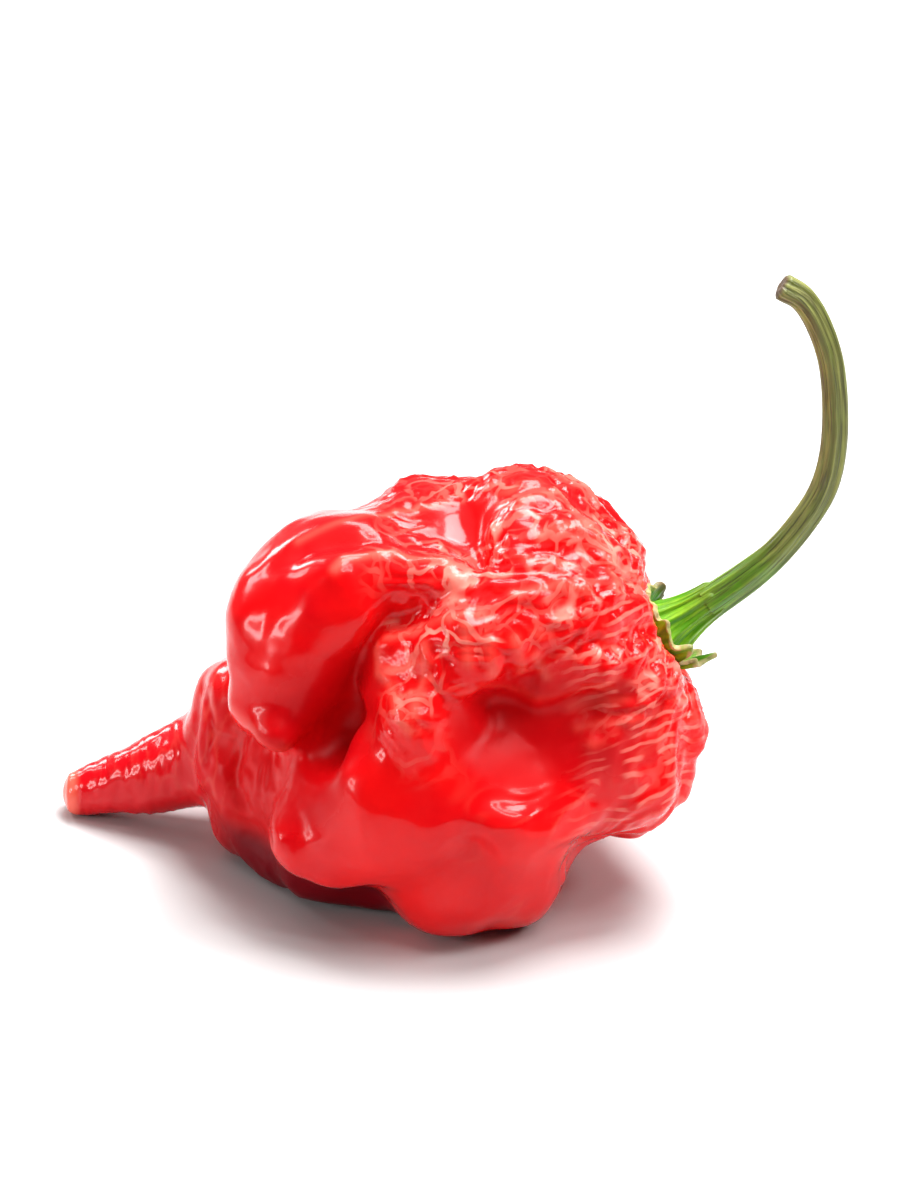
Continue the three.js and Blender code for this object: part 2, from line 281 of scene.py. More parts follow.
podSettings = {
    "voxel": 0.33 * mm,
    "smoothRounds": 12,
    "smoothFactor": 0.5,
    # Swells all over, less on the tail and in the smooth spots, with their place in the noise.
    "lump": {"height": 0.45 * mm, "size": 6.5 * mm, "shift": 1.0, "onTail": 0.3, "onPlain": 0.3},
    "ripple": {"height": 0.15 * mm, "size": 3.0 * mm, "shift": 2.0, "onPlain": 0.2},
    # Sharp wrinkles, each in its own area of the skin.
    "wrinkles": {
        "fold": {"area": "shoulder", "height": 0.2 * mm, "size": 3.6 * mm, "shift": 20.0},
        "crepe": {"area": "shoulder", "height": 0.05 * mm, "size": 1.7 * mm, "shift": 31.0},
        "crease": {"area": "shoulder", "height": 0.13 * mm, "size": 7 * mm, "shift": 12.0,
                   "lines": 4, "waver": 0.25, "waverSize": 1.75 * mm, "waverShift": 18.0},
        "pleat": {"area": "nearSeat", "height": 0.26 * mm, "size": 1.5 * mm, "shift": 5.0},
        "collar": {"area": "collar", "height": 0.1 * mm, "size": 2.3 * mm, "shift": 44.0},
        "tailRing": {"area": "tail", "height": 0.08 * mm, "size": 0.95 * mm, "shift": 8.0},
    },
    "ridgeSlope": 2.4,            # how steeply a wrinkle falls from its crest
    # Slow bends of the wrinkles, broad and fine.
    "drift": {"size": 6 * mm, "reach": 1.8 * mm, "shifts": (3.0, 14.0, 27.0)},
    "fineDrift": {"size": 2.8 * mm, "reach": 0.9 * mm, "shifts": (5.0, 17.0, 23.0)},
    "pleatRing": 13 * mm,         # the pleat wrinkles run out from the calyx, so they are noise on a ring
    "pleatBend": 0.25,
    "pleatStretch": 0.2,
    "tailStretch": (1, 0.3, 0.3),
    # Areas of the skin, as the places where each begins and is whole.
    "topX": (-0.0085, -0.002),
    "topZ": (0.018, 0.024),
    "sideX": (0.009, 0.017),
    "sideZ": (0.005, 0.013),
    "sideShare": 0.45,
    "rearX": (-0.016, -0.008),
    "rearY": (0.002, 0.010),
    "rearZ": (0.004, 0.010),
    "rearShare": 0.5,
    "seatNear": (0.003, 0.007),
    "seatFar": (0.018, 0.032),
    "tailX": (-0.0235, -0.0185),
    "collarLeft": (-0.024, -0.020),
    "collarRight": (-0.015, -0.011),
    "collarTop": (0.015, 0.020),
    # Smooth spots: pixel of the photograph in the middle, and radius.
    "plainSpots": [
        ((206, 1102), 7 * mm), ((191, 1018), 3.5 * mm), ((152, 1082), 5 * mm), ((142, 1122), 5 * mm),
    ],
    # Places where the skin is less glossy and painted a darker red, which stands for shade in the hollows,
    # the dent and by the collar, in the same way.
    "dullShadeSpots": [
        ((215, 1096), 6 * mm), ((202, 1104), 5 * mm), ((254, 1097), 5 * mm), ((150, 1088), 6.5 * mm),
        ((140, 1112), 6 * mm), ((102, 1128), 7 * mm), ((112, 1140), 6 * mm), ((124, 1120), 5.5 * mm),
        ((92, 1102), 5 * mm),
    ],
    "spotStretch": (0.7, 1, 1),
    "spotEdge": (0.6, 1.3),       # shares of the radius
    # The shaded underside below the collar and the flap.
    "shadeHeight": (0.0042, 0.0072),
    "shadeTail": (-0.0245, -0.0185),
    "shadeX": (-0.003, 0.001),
    "shadeY": (-0.0125, -0.0110),
    "shadeBack": (0.001, 0.007),
    "tipX": -0.0366,              # where the blunt tip of the tail begins
    "tipSquash": 0.5,
    # Painted highlights, as light salmon streaks: on the traced ridges, on the crests of wrinkles, in a
    # network, and on the pleat wrinkles by the calyx.
    "highlightWidth": 0.45 * mm,
    "patch": {"size": 4.5 * mm, "shift": 37.0, "edge": (-0.15, 0.3)},
    "crestHighlights": {"share": 0.6, "pleat": (0.7, 1), "tailRing": (0.6, 1), "tailZ": (0.004, 0.008)},
    # painted highlight network: on the shoulder, on faces turned up, less on the very top and at the back
    "netArea": {"betweenPatches": 0.4, "up": (0, 0.5), "top": (0.7, 0.95), "onTop": 0.5,
                "back": (0.003, 0.011), "onBack": 0.35},
    "net": {"size": 3.4 * mm, "wobble": 6 * mm, "thin": 0.11, "gapSize": 4 * mm, "gapEdge": (0.38, 0.5)},
    "fineHighlightNet": {"size": 1.8 * mm, "wobble": 2.2 * mm, "thin": 0.13, "gapSize": 5 * mm,
                "gapEdge": (0.46, 0.6)},
    "fineHighlightNetShare": 0.45,
    "netCrest": (-0.12, 0.05),    # the painted highlight network shows on wrinkles above this height, in millimetres
    # painted highlight streaks on the pleat wrinkles by the calyx, on faces turned to the front rather than
    # up
    "pleatHighlightArea": {"x": (0.009, 0.016), "z": (0.009, 0.015), "near": (0.005, 0.009), "far": (0.017, 0.024),
                  "onFar": 0.3, "up": (0.35, 0.7), "front": (0.1, 0.5), "elsewhere": 0.15},
    "pleatHighlightLines": {"across": (-0.25, 0.28, 0.93), "gap": 1.15 * mm, "wobble": 3 * mm},
    "pleatHighlightGaps": {"size": 2.8 * mm, "edge": (0.38, 0.54)},
    # Colours: the two reds of the ripe skin, then what is laid over them, in this order: a random brighter
    # red, painted shade in the less glossy spots and in the wrinkle valleys, painted highlights, painted
    # shade on the underside, the darker tail and its coral tip.
    "ripeRed": (0.82, 0.0028, 0.004, 1),
    "deepRed": (0.70, 0.0018, 0.005, 1),
    "blotch": {"size": 9 * mm, "edge": (0.35, 0.7)},
    "mottle": {"size": 2.2 * mm, "edge": (0.3, 0.75)},
    "tints": {
        "bright": {"share": 0.3, "colour": (0.90, 0.006, 0.005, 1)},
        # painted shade: a darker red in the less glossy spots and on the underside
        "dullAndShade": {"share": 0.5, "colour": (0.45, 0.001, 0.004, 1)},
        # painted shade: a darker red in the valleys of the wrinkles
        "valleyShade": {"share": 0.35, "colour": (0.40, 0.001, 0.003, 1), "span": (-0.4, -0.04)},
        # painted highlights: light salmon streaks on crests, a network on the shoulder and streaks on the
        # pleat wrinkles
        "highlightLine": {"share": 0.5, "colour": (0.92, 0.16, 0.11, 1)},
        "net": {"share": 0.75, "colour": (0.90, 0.34, 0.26, 1)},
        "pleatHighlights": {"share": 0.65, "colour": (0.92, 0.22, 0.17, 1)},
        "shade": {"share": 0.9, "colour": (0.13, 0.001, 0.006, 1)},
        "tail": {"share": 0.5, "colour": (0.55, 0.003, 0.012, 1), "span": (-0.026, -0.019)},
        "tip": {"share": 0.9, "colour": (0.90, 0.13, 0.085, 1), "span": (-0.0362, -0.0352)},
    },
    "roughness": {"least": 0.16, "dullAndShade": 0.16, "mottle": 0.08},
    "poreSize": 0.9 * mm,
    "poreShare": 0.15,
    "bump": {"strength": 0.3, "distance": 0.1 * mm},
    "coatWeight": 0.42,
    "sockets": {"Coat Roughness": 0.09, "Coat IOR": 1.4, "IOR": 1.4, "Specular IOR Level": 0.15},
}

# Folds and ridges traced on the photograph: points in pixels of it, width and height in millimetres on
# the skin, a drag across and up the picture, and how strong a painted highlight is on the crest.
podStrokes = [
    {"name": "cheekBrow", "width": 1.5, "height": 0.55, "highlightShare": 0.9,
     "at": [(139, 1038), (143, 1034), (159, 1032), (182, 1035), (185, 1040), (187, 1052)]},
    {"name": "shelfEdge", "width": 1.6, "height": 0.4, "highlightShare": 0.6,
     "at": [(125, 1027), (145, 1019), (163, 1015), (179, 1013)]},
    {"name": "shelfFold", "width": 1.3, "height": -0.4, "at": [(127, 1031), (145, 1027), (172, 1028)]},
    {"name": "ridgeEdge", "width": 2.2, "height": 0.5, "drag": (-2.0, 0.2),
     "at": [(166, 1066), (160, 1074), (157, 1084)]},
    {"name": "ridgeFoot", "width": 2.2, "height": 0.4, "drag": (-0.3, 0.0),
     "at": [(152, 1095), (148, 1106), (145, 1117)]},
    {"name": "ridgeTop", "width": 1.3, "height": 0.4, "highlightShare": 0.9,
     "at": [(168, 1065), (186, 1058), (198, 1056)]},
    {"name": "ridgeFold", "width": 2.4, "height": -1.2,
     "at": [(162, 1058), (153, 1076), (146, 1094), (138, 1109)]},
    {"name": "ridgeNet1", "width": 0.8, "height": 0.2, "highlightShare": 0.8,
     "at": [(164, 1068), (161, 1079), (164, 1091), (168, 1100)]},
    {"name": "ridgeNet2", "width": 0.8, "height": 0.2, "highlightShare": 0.8,
     "at": [(162, 1079), (169, 1075), (176, 1074)]},
    {"name": "ridgeNet3", "width": 0.8, "height": 0.2, "highlightShare": 0.7,
     "at": [(164, 1089), (169, 1086), (174, 1087)]},
    {"name": "drip1", "width": 1.0, "height": 0.4, "highlightShare": 0.8,
     "at": [(176, 1068), (174, 1080), (170, 1094)]},
    {"name": "drip2", "width": 1.0, "height": 0.45, "highlightShare": 0.8, "at": [(191, 1061), (191, 1073)]},
    {"name": "drip3", "width": 1.0, "height": 0.45, "highlightShare": 0.8, "at": [(199, 1064), (200, 1076)]},
    {"name": "drip4", "width": 1.0, "height": 0.4, "highlightShare": 0.8, "at": [(209, 1064), (212, 1076)]},
    {"name": "drip5", "width": 1.0, "height": 0.35, "highlightShare": 0.7, "at": [(217, 1070), (222, 1079)]},
    {"name": "dentRim", "width": 1.4, "height": 0.6, "highlightShare": 0.2,
     "at": [(188, 1084), (197, 1080), (209, 1084), (218, 1088), (243, 1081)]},
    {"name": "dentFold", "width": 1.6, "height": -0.4,
     "at": [(197, 1088), (209, 1091), (219, 1094), (240, 1088)]},
    {"name": "dentScoop", "width": 3.0, "height": -0.8,
     "at": [(202, 1092), (214, 1091), (228, 1093), (238, 1089)]},
    {"name": "dentFill", "width": 3.6, "height": 0.8,
     "at": [(180, 1101), (194, 1103), (210, 1107), (228, 1106)]},
    {"name": "cheekSide", "width": 3.2, "height": 1.0, "at": [(103, 1064), (101, 1078)]},
    {"name": "cheekFill", "width": 3.0, "height": 1.2, "at": [(104, 1076), (114, 1078), (126, 1080)]},
    {"name": "finger1", "width": 1.3, "height": 0.5, "highlightShare": 0.8,
     "at": [(213, 1013), (225, 1010), (234, 1017)]},
    {"name": "finger2", "width": 1.2, "height": 0.5, "highlightShare": 0.8,
     "at": [(218, 1025), (236, 1021), (245, 1030), (248, 1044)]},
    {"name": "finger3", "width": 1.2, "height": 0.45, "highlightShare": 0.8,
     "at": [(202, 1034), (216, 1035), (231, 1037)]},
    {"name": "finger4", "width": 1.1, "height": 0.4, "highlightShare": 0.8,
     "at": [(209, 1047), (225, 1044), (238, 1046)]},
    {"name": "topFold", "width": 2.0, "height": -0.35, "at": [(188, 1010), (191, 1025), (195, 1037)]},
    {"name": "pleat1", "width": 0.9, "height": 0.4, "highlightShare": 0.35,
     "at": [(232, 1092), (252, 1088), (270, 1083)]},
    {"name": "pleat2", "width": 0.9, "height": 0.4, "highlightShare": 0.35,
     "at": [(234, 1099), (256, 1096), (275, 1090)]},
    {"name": "pleat3", "width": 0.9, "height": 0.4, "highlightShare": 0.35,
     "at": [(240, 1106), (261, 1101), (279, 1096)]},
    {"name": "pleat4", "width": 0.9, "height": 0.4, "highlightShare": 0.35, "at": [(243, 1085), (266, 1078)]},
    {"name": "flapEdge", "width": 1.6, "height": 0.35,
     "at": [(119, 1142), (127, 1154), (141, 1161), (161, 1163)]},
    {"name": "flapFold", "width": 2.4, "height": -0.45,
     "at": [(155, 1164), (166, 1157), (182, 1142), (190, 1130)]},
    {"name": "collarFold1", "width": 0.9, "height": -0.45, "at": [(89, 1088), (92, 1101), (88, 1112)]},
    {"name": "collarFold2", "width": 0.9, "height": -0.45, "at": [(104, 1101), (99, 1117), (102, 1130)]},
    {"name": "tailRing", "width": 1.2, "height": -0.5,
     "at": [(86, 1084), (84, 1098), (82, 1118), (85, 1132)]},
    {"name": "cheekRim", "width": 1.3, "height": 0.35, "highlightShare": 0.4,
     "at": [(100, 1091), (109, 1100), (118, 1106)]},
]


def copyOfNode(node, name):
    piece = bpy.data.objects.new(name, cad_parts[node].data.copy())
    scene.collection.objects.link(piece)
    mergeCorners(piece, cadMerge)
    return piece


def surfaceUnder(piece):               # a function from a pixel of the photograph to the skin under it
    right, up, back = cameraAxes()
    aim = Vector(viewSettings["aim"])
    eye = aim + back * viewSettings["distance"]
    tree = BVHTree.FromObject(piece, bpy.context.evaluated_depsgraph_get())

    def find(pixel):
        across = (pixel[0] - viewSettings["photoAim"][0]) * viewSettings["photoPixel"]
        above = (viewSettings["photoAim"][1] - pixel[1]) * viewSettings["photoPixel"]
        return tree.ray_cast(eye, (aim + right * across + up * above - eye).normalized())[0]
    return find


def strokeMoves(places, normals, find):
    right, up, back = cameraAxes()
    moves = np.zeros_like(places)
    highlightShare = np.zeros(len(places))
    for stroke in podStrokes:
        path = [np.array(hit) for hit in map(find, stroke["at"]) if hit]
        nearest = np.full(len(places), np.inf)
        for start, end in zip(path, path[1:]):
            span = end - start
            share = np.clip((places - start) @ span / (span @ span), 0, 1)
            nearest = np.minimum(nearest, np.linalg.norm(places - start - share[:, None] * span, axis=1))
        across, above = stroke.get("drag", (0, 0))
        near = bell(nearest, stroke["width"] * mm)[:, None] * mm
        moves += near * (stroke["height"] * normals + np.array(right * across + up * above))
        # how strong the painted highlight on this stroke's crest is
        highlightShare = np.maximum(highlightShare, stroke.get("highlightShare", 0) * bell(nearest, podSettings["highlightWidth"]))
    return moves, highlightShare


def grainOf(places, kind):
    return grainAt(places, kind["size"], kind["shift"])


def ridged(places, kind):              # sharp crests where the noise passes through its middle
    return 1 - podSettings["ridgeSlope"] * np.abs(grainOf(places, kind))


def winding(places, kind):             # sharp crests along the contour lines of a noise
    waver = kind["waver"] * grainAt(places, kind["waverSize"], kind["waverShift"])
    field = kind["lines"] * grainOf(places, kind) + waver
    return 2 * np.abs(2 * (field % 1) - 1) - 1


def driftAt(places, drift):
    return np.stack([grainAt(places, drift["size"], shift) for shift in drift["shifts"]], axis=1)


def fromSeat(places):
    return np.linalg.norm(places - np.array(seat), axis=1)


def awayFrom(places, spots):           # 0 in the spots and 1 outside them
    s = podSettings
    inner, outer = s["spotEdge"]
    share = np.ones(len(places))
    for spot, radius in spots:
        away = np.linalg.norm((places - np.array(spot)) * np.array(s["spotStretch"]), axis=1)
        share *= ramp(away, inner * radius, outer * radius)
    return share


def skinAreas(places, spots):          # where each kind of wrinkle is, from 0 to 1
    s = podSettings
    x, y, z = places.T
    reach = fromSeat(places)
    plain = awayFrom(places, spots)
    top = ramp(x, *s["topX"]) * ramp(z, *s["topZ"])
    side = ramp(x, *s["sideX"]) * ramp(z, *s["sideZ"])
    rear = ramp(y, *s["rearY"]) * ramp(x, *s["rearX"]) * ramp(z, *s["rearZ"])
    crumpled = np.maximum(np.maximum(top, s["sideShare"] * side), s["rearShare"] * rear)
    return {
        "plain": plain,
        "shoulder": plain * crumpled,
        "nearSeat": plain * ramp(reach, *s["seatNear"]) * fall(reach, *s["seatFar"]),
        "tail": fall(x, *s["tailX"]),
        "collar": ramp(x, *s["collarLeft"]) * fall(x, *s["collarRight"]) * fall(z, *s["collarTop"]),
    }


def swellHeights(places, areas):
    lump, ripple = podSettings["lump"], podSettings["ripple"]
    heights = lump["height"] * grainOf(places, lump) * notBelow(lump["onTail"], 1 - areas["tail"])
    heights *= notBelow(lump["onPlain"], areas["plain"])
    return heights + ripple["height"] * grainOf(places, ripple) * notBelow(ripple["onPlain"], areas["plain"])


def wrinkleCrests(places):             # each kind of wrinkle all over the skin, 1 on its crests
    s = podSettings
    kinds = s["wrinkles"]
    drift = driftAt(places, s["drift"])
    warped = places + s["drift"]["reach"] * drift
    warped += s["fineDrift"]["reach"] * driftAt(places, s["fineDrift"])
    arm = places - np.array(seat)
    angle = np.arctan2(arm @ np.array(seatSide), arm @ np.array(seatFront))
    turned = angle + s["pleatBend"] * drift[:, 0]
    ring = s["pleatRing"]
    out = s["pleatStretch"] * fromSeat(places)
    swept = np.stack([ring * np.cos(turned), ring * np.sin(turned), out], axis=1)
    return {
        "fold": ridged(warped, kinds["fold"]),
        "crepe": ridged(warped, kinds["crepe"]),
        "crease": winding(warped, kinds["crease"]),
        "pleat": ridged(swept, kinds["pleat"]),
        "collar": ridged(warped, kinds["collar"]),
        "tailRing": ridged(places * np.array(s["tailStretch"]), kinds["tailRing"]),
    }


def wrinkleHeights(areas, crests):
    heights = 0
    for name, kind in podSettings["wrinkles"].items():
        heights = heights + areas[kind["area"]] * kind["height"] * crests[name]
    return heights


def paintedHighlights(places, normals, areas, crests):     # how strong each kind of painted highlight is on the skin
    s = podSettings
    x, y, z = places.T
    front, up = -normals[:, 1], normals[:, 2]
    reach = fromSeat(places)
    patchy = ramp(grainOf(places, s["patch"]), *s["patch"]["edge"])
    where = s["crestHighlights"]
    onPleats = areas["nearSeat"] * patchy * ramp(crests["pleat"], *where["pleat"])
    # painted highlights on the rings of the tail, only on its upper side
    onTail = areas["tail"] * ramp(z, *where["tailZ"]) * ramp(crests["tailRing"], *where["tailRing"])
    highlightLine = where["share"] * np.maximum(onPleats, onTail)
    where = s["netArea"]
    # the painted highlight network, on faces turned up
    net = areas["shoulder"] * notBelow(where["betweenPatches"], patchy) * ramp(up, *where["up"])
    net *= notBelow(where["onTop"], fall(up, *where["top"]))
    net *= notBelow(where["onBack"], fall(y, *where["back"]))
    where = s["pleatHighlightArea"]
    pleatHighlights = areas["plain"] * ramp(x, *where["x"]) * ramp(z, *where["z"]) * ramp(reach, *where["near"])
    pleatHighlights *= fall(up, *where["up"]) * notBelow(where["onFar"], fall(reach, *where["far"]))
    pleatHighlights *= notBelow(where["elsewhere"], ramp(front, *where["front"]))
    return highlightLine, net, pleatHighlights


def shadeBelow(places):                # 1 on the shaded underside
    s = podSettings
    x, y, z = places.T
    shade = fall(z, *s["shadeHeight"]) * fall(x, *s["shadeX"]) * ramp(y, *s["shadeY"])
    return shade * ramp(x, *s["shadeTail"]) * fall(y, *s["shadeBack"])


def brokenSeams(coords, net):          # a network of seams with gaps in it, for the painted highlights
    gaps = coords.grain(net["gapSize"], detail=1.0).between(*net["gapEdge"])
    return coords.seams(net["size"], net["wobble"], net["thin"]) * gaps


def makePodMaterial():
    s = podSettings
    tints = s["tints"]
    material, shader, start, coords = newMaterial("podSkin")
    crest, highlightLine, glossUnshaded, shade = [start.attribute(name) for name in ("crest", "highlightLine", "glossUnshaded", "shade")]
    # painted highlights: a network of seams on the crests of the wrinkles
    fineSeams = brokenSeams(coords, s["fineHighlightNet"]) * s["fineHighlightNetShare"]
    seams = start.maths("MAXIMUM", brokenSeams(coords, s["net"]), fineSeams)
    net = start.attribute("net") * crest.between(*s["netCrest"]) * seams
    # painted highlights: wavering streaks across the pleat wrinkles, with gaps
    gaps = coords.grain(s["pleatHighlightGaps"]["size"], detail=1.0).between(*s["pleatHighlightGaps"]["edge"])
    pleatHighlights = start.attribute("pleatHighlights") * coords.layers(**s["pleatHighlightLines"]) * gaps
    blotch = coords.grain(s["blotch"]["size"], detail=3.0).between(*s["blotch"]["edge"])
    mottle = coords.grain(s["mottle"]["size"], detail=3.0).between(*s["mottle"]["edge"])
    along = coords.axis(0)
    masks = {
        "bright": mottle,
        "dullAndShade": 1 - glossUnshaded,
        "valleyShade": 1 - crest.between(*tints["valleyShade"]["span"]),
        "highlightLine": highlightLine,
        "net": net,
        "pleatHighlights": pleatHighlights,
        "shade": shade,
        "tail": 1 - along.between(*tints["tail"]["span"]),
        "tip": 1 - along.between(*tints["tip"]["span"]),
    }
    # the reds, then painted shade and painted highlights laid over them
    red = blotch.mix(s["ripeRed"], s["deepRed"])
    for name, mask in masks.items():
        red = tinted(red, mask, tints[name])
    feed(shader, "Base Color", red)
    rough = s["roughness"]
    feed(shader, "Roughness", mottle * rough["mottle"] + (1 - glossUnshaded) * rough["dullAndShade"] + rough["least"])
    bumpInto(shader, coords.grain(s["poreSize"]) * s["poreShare"] + net + pleatHighlights, s["bump"])
    feed(shader, "Coat Weight", glossUnshaded * s["coatWeight"])
    setSockets(shader, s["sockets"])
    return material


def makePod():
    s = podSettings
    pod = copyOfNode("pod", "podFlesh")
    applyModifier(pod, "REMESH", mode="VOXEL", voxel_size=s["voxel"])
    applyModifier(pod, "SMOOTH", factor=s["smoothFactor"], iterations=s["smoothRounds"])
    find = surfaceUnder(pod)
    plainSpots = [(find(pixel), radius) for pixel, radius in s["plainSpots"]]
    dullShadeSpots = [(find(pixel), radius) for pixel, radius in s["dullShadeSpots"]]
    places, normals = readCorners(pod)
    moves, highlightShare = strokeMoves(places, normals, find)
    writeCorners(pod, places + moves)
    places, normals = readCorners(pod)
    sink = bell(fromSeat(places), seatSettings["sinkWidth"]) * seatSettings["sink"]
    places -= sink[:, None] * np.array(seatAxis)
    areas = skinAreas(places, plainSpots)
    crests = wrinkleCrests(places)
    sharp = wrinkleHeights(areas, crests)
    highlightLine, net, pleatHighlights = paintedHighlights(places, normals, areas, crests)
    places += normals * (swellHeights(places, areas) + sharp)[:, None]
    places[:, 0] += np.maximum(s["tipX"] - places[:, 0], 0) * s["tipSquash"]
    places[:, 2] = np.maximum(places[:, 2], 0)
    writeCorners(pod, places)
    shade = shadeBelow(places)
    keepAttribute(pod, "crest", sharp / mm)
    keepAttribute(pod, "net", net)
    keepAttribute(pod, "pleatHighlights", pleatHighlights)
    keepAttribute(pod, "highlightLine", np.maximum(highlightLine, highlightShare))
    # 1 where the skin is glossy and not painted with shade
    keepAttribute(pod, "glossUnshaded", awayFrom(places, dullShadeSpots) * (1 - shade))
    keepAttribute(pod, "shade", shade)
    dress(pod, "pod", makePodMaterial())
    return pod


calyxSettings = {
    "around": 160,
    "along": 34,
    "height": 8.3 * mm,
    "funnelShare": 0.6,           # share of the sheet that is funnel, the rest being lobes
    "neck": 1.35 * mm,
    "throat": 1.66 * mm,
    "throatShare": 0.1,           # share of the funnel in which the neck swells to the throat
    "mouth": 3.1 * mm,
    "mouthHeight": 1.7 * mm,
    "flare": 2.2,
    "rim": 3.5 * mm,
    "ribs": 10,
    "ribShare": 0.06,
    "fineRibs": 23,
    "fineRibShare": 0.025,
    "ribStart": 0.05,             # the ribs begin past this share of the funnel
    "wall": 0.55 * mm,
    "gap": 0.3 * mm,
    "crumple": {"reach": 0.5 * mm, "waves": 2.6, "shift": 4},
    "ruffle": {"height": 0.5 * mm, "swing": 1.8, "waves": 4.6, "shift": 9, "twist": 0.6},
    "frill": {"angle": 92, "half": 34, "waves": 13, "height": 0.8 * mm},    # on the lobe at the bottom right
    "liftCurve": 1.5,
    "fallCurve": 1.6,
    "rayStart": 12 * mm,          # height above the seat from which the skin is looked for
    # Each lobe: its angle round the axis from the front, its half width in degrees, reach and lift.
    "lobes": [
        {"angle": -88, "half": 24, "reach": 1.0 * mm, "lift": 0.15 * mm},
        {"angle": -142, "half": 20, "reach": 0.1 * mm, "lift": 1.0 * mm},
        {"angle": -25, "half": 30, "reach": 0.3 * mm, "lift": 0.35 * mm},
        {"angle": 24, "half": 12, "reach": 0.3 * mm, "lift": 0.9 * mm},
        {"angle": 92, "half": 34, "reach": 1.1 * mm, "lift": 2.4 * mm},
    ],
    # Colours: streaks of two greens, then what is laid over them.
    "deepGreen": (0.06, 0.25, 0.002, 1),
    "lightGreen": (0.22, 0.46, 0.008, 1),
    "streak": {"stretch": (30, 2.0, 1), "edge": (0.36, 0.64)},
    "patch": {"size": 1.2 * mm, "edge": (0.35, 0.7)},
    "dryPatches": 0.10,
    "brownSize": 1.1 * mm,
    "brownPatches": 0.2,
    "tints": {
        "patch": {"share": 0.35, "colour": (0.07, 0.20, 0.003, 1)},
        "stalkSide": {"share": 0.75, "colour": (0.12, 0.19, 0.022, 1), "span": (0.02, 0.34)},
        "dryEdge": {"share": 1.0, "colour": (0.42, 0.36, 0.14, 1), "span": (0.95, 1.04)},
        "brownEdge": {"share": 1.0, "colour": (0.09, 0.045, 0.015, 1), "span": (1.08, 1.15)},
        "backLobe": {"share": 0.85, "colour": (0.12, 0.075, 0.03, 1), "span": (0.78, 0.92)},
    },
    "backLobeFrom": (0.53, 0.57),
    "backLobeTo": (0.65, 0.69),
    "roughness": {"least": 0.34, "streak": 0.15},
    "patchBump": 0.4,
    "bump": {"strength": 0.35, "distance": 0.15 * mm},
    "sockets": {"Specular IOR Level": 0.3},
}


def seatPoint(along, out, angle):
    return seat + seatAxis * along + (seatFront * math.cos(angle) + seatSide * math.sin(angle)) * out


def wrapGrid(name, around, along, place):   # a grid bent round on itself, its corners placed by two shares
    deselectAll()
    bpy.ops.mesh.primitive_grid_add(x_subdivisions=around, y_subdivisions=along, size=2)
    piece = bpy.context.object
    piece.name = piece.data.name = name
    for corner in piece.data.vertices:
        corner.co = place((corner.co.x + 1) / 2, (corner.co.y + 1) / 2)
    mergeCorners(piece, gridMerge)
    return piece


def makeCalyxMaterial():
    s = calyxSettings
    tints = s["tints"]
    material, shader, start, coords = newMaterial("calyxLeaf")
    uv = start.node("ShaderNodeTexCoord", out=2)
    around, down = uv.axis(0), uv.axis(1)
    streak = uv.grain(1.0, detail=3.0, stretch=s["streak"]["stretch"]).between(*s["streak"]["edge"])
    patch = coords.grain(s["patch"]["size"], detail=3.0).between(*s["patch"]["edge"])
    browned = down + coords.grain(s["brownSize"], detail=3.0) * s["brownPatches"]
    backLobe = around.between(*s["backLobeFrom"]) * (1 - around.between(*s["backLobeTo"]))
    masks = {
        "patch": patch,
        "stalkSide": 1 - down.between(*tints["stalkSide"]["span"]),
        "dryEdge": (down + patch * s["dryPatches"]).between(*tints["dryEdge"]["span"]),
        "brownEdge": browned.between(*tints["brownEdge"]["span"]),
        "backLobe": backLobe * down.between(*tints["backLobe"]["span"]),
    }
    green = streak.mix(s["deepGreen"], s["lightGreen"])
    for name, mask in masks.items():
        green = tinted(green, mask, tints[name])
    feed(shader, "Base Color", green)
    feed(shader, "Roughness", streak * s["roughness"]["streak"] + s["roughness"]["least"])
    bumpInto(shader, streak + patch * s["patchBump"], s["bump"])
    setSockets(shader, s["sockets"])
    return material


